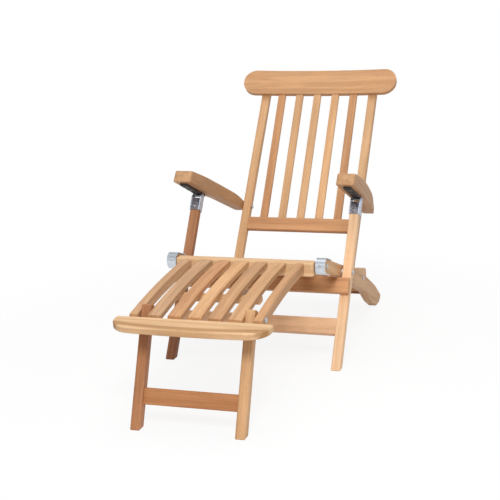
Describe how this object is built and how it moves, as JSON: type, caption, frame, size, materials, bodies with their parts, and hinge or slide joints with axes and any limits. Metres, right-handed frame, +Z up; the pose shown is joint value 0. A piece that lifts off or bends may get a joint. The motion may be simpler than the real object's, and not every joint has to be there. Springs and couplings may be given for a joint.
{
  "type": "steamer deck chair",
  "caption": "Folding wooden steamer deck chair with slatted reclining back, flat arms, slatted seat and hinged footrest on its own legs.",
  "frame": {"origin": "on the floor under the middle of the chair, centred across and along its box", "axes": "+Z up, +Y towards the back of the chair, the sitter faces -Y, +X to the sitter's left"},
  "size_m": [0.615, 1.5848, 0.8448],
  "materials": {
    "left_seat_rail": "fine sanded, unfinished teak",
    "right_seat_rail": "fine sanded, unfinished teak",
    "front_seat_bar": "fine sanded, unfinished teak",
    "middle_seat_bar": "fine sanded, unfinished teak",
    "rear_seat_bar": "fine sanded, unfinished teak",
    "rear_foot_bar": "fine sanded, unfinished teak",
    "seat_slat_1": "fine sanded, unfinished teak",
    "seat_slat_2": "fine sanded, unfinished teak",
    "seat_slat_3": "fine sanded, unfinished teak",
    "seat_slat_4": "fine sanded, unfinished teak",
    "seat_slat_5": "fine sanded, unfinished teak",
    "left_main_leg": "fine sanded, unfinished teak",
    "right_main_leg": "fine sanded, unfinished teak",
    "leg_stop_bar": "fine sanded, unfinished teak",
    "leg_stretcher": "fine sanded, unfinished teak",
    "left_back_stile": "fine sanded, unfinished teak",
    "right_back_stile": "fine sanded, unfinished teak",
    "headrest": "fine sanded, unfinished teak",
    "lower_back_rail": "fine sanded, unfinished teak",
    "back_slat_1": "fine sanded, unfinished teak",
    "back_slat_2": "fine sanded, unfinished teak",
    "back_slat_3": "fine sanded, unfinished teak",
    "back_slat_4": "fine sanded, unfinished teak",
    "back_slat_5": "fine sanded, unfinished teak",
    "left_arm": "fine sanded, unfinished teak",
    "right_arm": "fine sanded, unfinished teak",
    "knee_bar": "fine sanded, unfinished teak",
    "left_footrest_rail": "fine sanded, unfinished teak",
    "right_footrest_rail": "fine sanded, unfinished teak",
    "footrest_slat_1": "fine sanded, unfinished teak",
    "footrest_slat_2": "fine sanded, unfinished teak",
    "footrest_slat_3": "fine sanded, unfinished teak",
    "footrest_slat_4": "fine sanded, unfinished teak",
    "footrest_slat_5": "fine sanded, unfinished teak",
    "footboard": "fine sanded, unfinished teak",
    "footrest_front_bar": "fine sanded, unfinished teak",
    "footrest_cleat": "fine sanded, unfinished teak",
    "left_footrest_leg": "fine sanded, unfinished teak",
    "right_footrest_leg": "fine sanded, unfinished teak",
    "footrest_stretcher": "fine sanded, unfinished teak",
    "steel": "zinc plated",
    "fasteners": "stainless"
  },
  "bodies": {
    "seat": {"left_seat_rail": "left_seat_rail", "right_seat_rail": "right_seat_rail", "left_knee_strap": "steel", "right_knee_strap": "steel", "front_seat_bar": "front_seat_bar", "middle_seat_bar": "middle_seat_bar", "rear_seat_bar": "rear_seat_bar", "rear_foot_bar": "rear_foot_bar", "seat_slat_1": "seat_slat_1", "seat_slat_2": "seat_slat_2", "seat_slat_3": "seat_slat_3", "seat_slat_4": "seat_slat_4", "seat_slat_5": "seat_slat_5", "knee_bolts": "fasteners", "leg_pivot_bolts": "fasteners", "leg_washers": "steel", "strap_screws": "fasteners"},
    "main_legs": {"left_main_leg": "left_main_leg", "right_main_leg": "right_main_leg", "left_leg_fork": "steel", "right_leg_fork": "steel", "leg_stop_bar": "leg_stop_bar", "leg_stretcher": "leg_stretcher", "fork_pins": "steel", "fork_screws": "fasteners"},
    "back_pivot": {"back_pivot_bolts": "fasteners", "back_washers": "steel"},
    "back": {"left_back_stile": "left_back_stile", "right_back_stile": "right_back_stile", "headrest": "headrest", "lower_back_rail": "lower_back_rail", "back_slat_1": "back_slat_1", "back_slat_2": "back_slat_2", "back_slat_3": "back_slat_3", "back_slat_4": "back_slat_4", "back_slat_5": "back_slat_5"},
    "left_arm_pivot": {"left_arm_bolt": "fasteners"},
    "right_arm_pivot": {"right_arm_bolt": "fasteners"},
    "left_arm": {"left_arm": "left_arm", "left_arm_track": "steel"},
    "right_arm": {"right_arm": "right_arm", "right_arm_track": "steel"},
    "footrest": {"knee_bar": "knee_bar", "left_footrest_rail": "left_footrest_rail", "right_footrest_rail": "right_footrest_rail", "footrest_slat_1": "footrest_slat_1", "footrest_slat_2": "footrest_slat_2", "footrest_slat_3": "footrest_slat_3", "footrest_slat_4": "footrest_slat_4", "footrest_slat_5": "footrest_slat_5", "footboard": "footboard", "footrest_front_bar": "footrest_front_bar", "footrest_cleat": "footrest_cleat", "footrest_leg_bolts": "fasteners"},
    "footrest_legs": {"left_footrest_leg": "left_footrest_leg", "right_footrest_leg": "right_footrest_leg", "footrest_stretcher": "footrest_stretcher"}
  },
  "joints": [
    {"name": "fold", "type": "hinge", "parent": "seat", "child": "back_pivot", "pos_m": [0, 0.2842, 0.166], "axis": [1, 0, 0], "range_deg": [0, 90]},
    {"name": "recline", "type": "hinge", "parent": "back_pivot", "child": "back", "pos_m": [0, 0.2842, 0.166], "axis": [1, 0, 0], "range_deg": [-35, 0]},
    {"name": "main_legs_fold", "type": "hinge", "parent": "seat", "child": "main_legs", "pos_m": [0, -0.0168, 0.27], "axis": [1, 0, 0], "range_deg": [0, 88]},
    {"name": "left_arm_fold", "type": "hinge", "parent": "back", "child": "left_arm_pivot", "pos_m": [0, 0.4482, 0.375], "axis": [1, 0, 0], "range_deg": [-95, 0]},
    {"name": "right_arm_fold", "type": "hinge", "parent": "back", "child": "right_arm_pivot", "pos_m": [0, 0.4482, 0.375], "axis": [1, 0, 0], "range_deg": [-95, 0]},
    {"name": "left_arm_recline", "type": "hinge", "parent": "left_arm_pivot", "child": "left_arm", "pos_m": [0, 0.4482, 0.375], "axis": [1, 0, 0], "range_deg": [0, 24]},
    {"name": "right_arm_recline", "type": "hinge", "parent": "right_arm_pivot", "child": "right_arm", "pos_m": [0, 0.4482, 0.375], "axis": [1, 0, 0], "range_deg": [0, 24]},
    {"name": "footrest_fold", "type": "hinge", "parent": "seat", "child": "footrest", "pos_m": [0, -0.2088, 0.339], "axis": [1, 0, 0], "range_deg": [0, 117.1]},
    {"name": "footrest_legs_fold", "type": "hinge", "parent": "footrest", "child": "footrest_legs", "pos_m": [0, -0.6491, 0.3], "axis": [1, 0, 0], "range_deg": [0, 112]}
  ],
  "couplings": [
    {"joint": "main_legs_fold", "follows": "fold", "ratio": 0.97},
    {"joint": "left_arm_fold", "follows": "fold", "ratio": -1.05},
    {"joint": "right_arm_fold", "follows": "fold", "ratio": -1.05},
    {"joint": "footrest_fold", "follows": "fold", "ratio": 1.3},
    {"joint": "footrest_legs_fold", "follows": "fold", "ratio": 1.244},
    {"joint": "left_arm_recline", "follows": "recline", "ratio": -0.68},
    {"joint": "right_arm_recline", "follows": "recline", "ratio": -0.68}
  ]
}
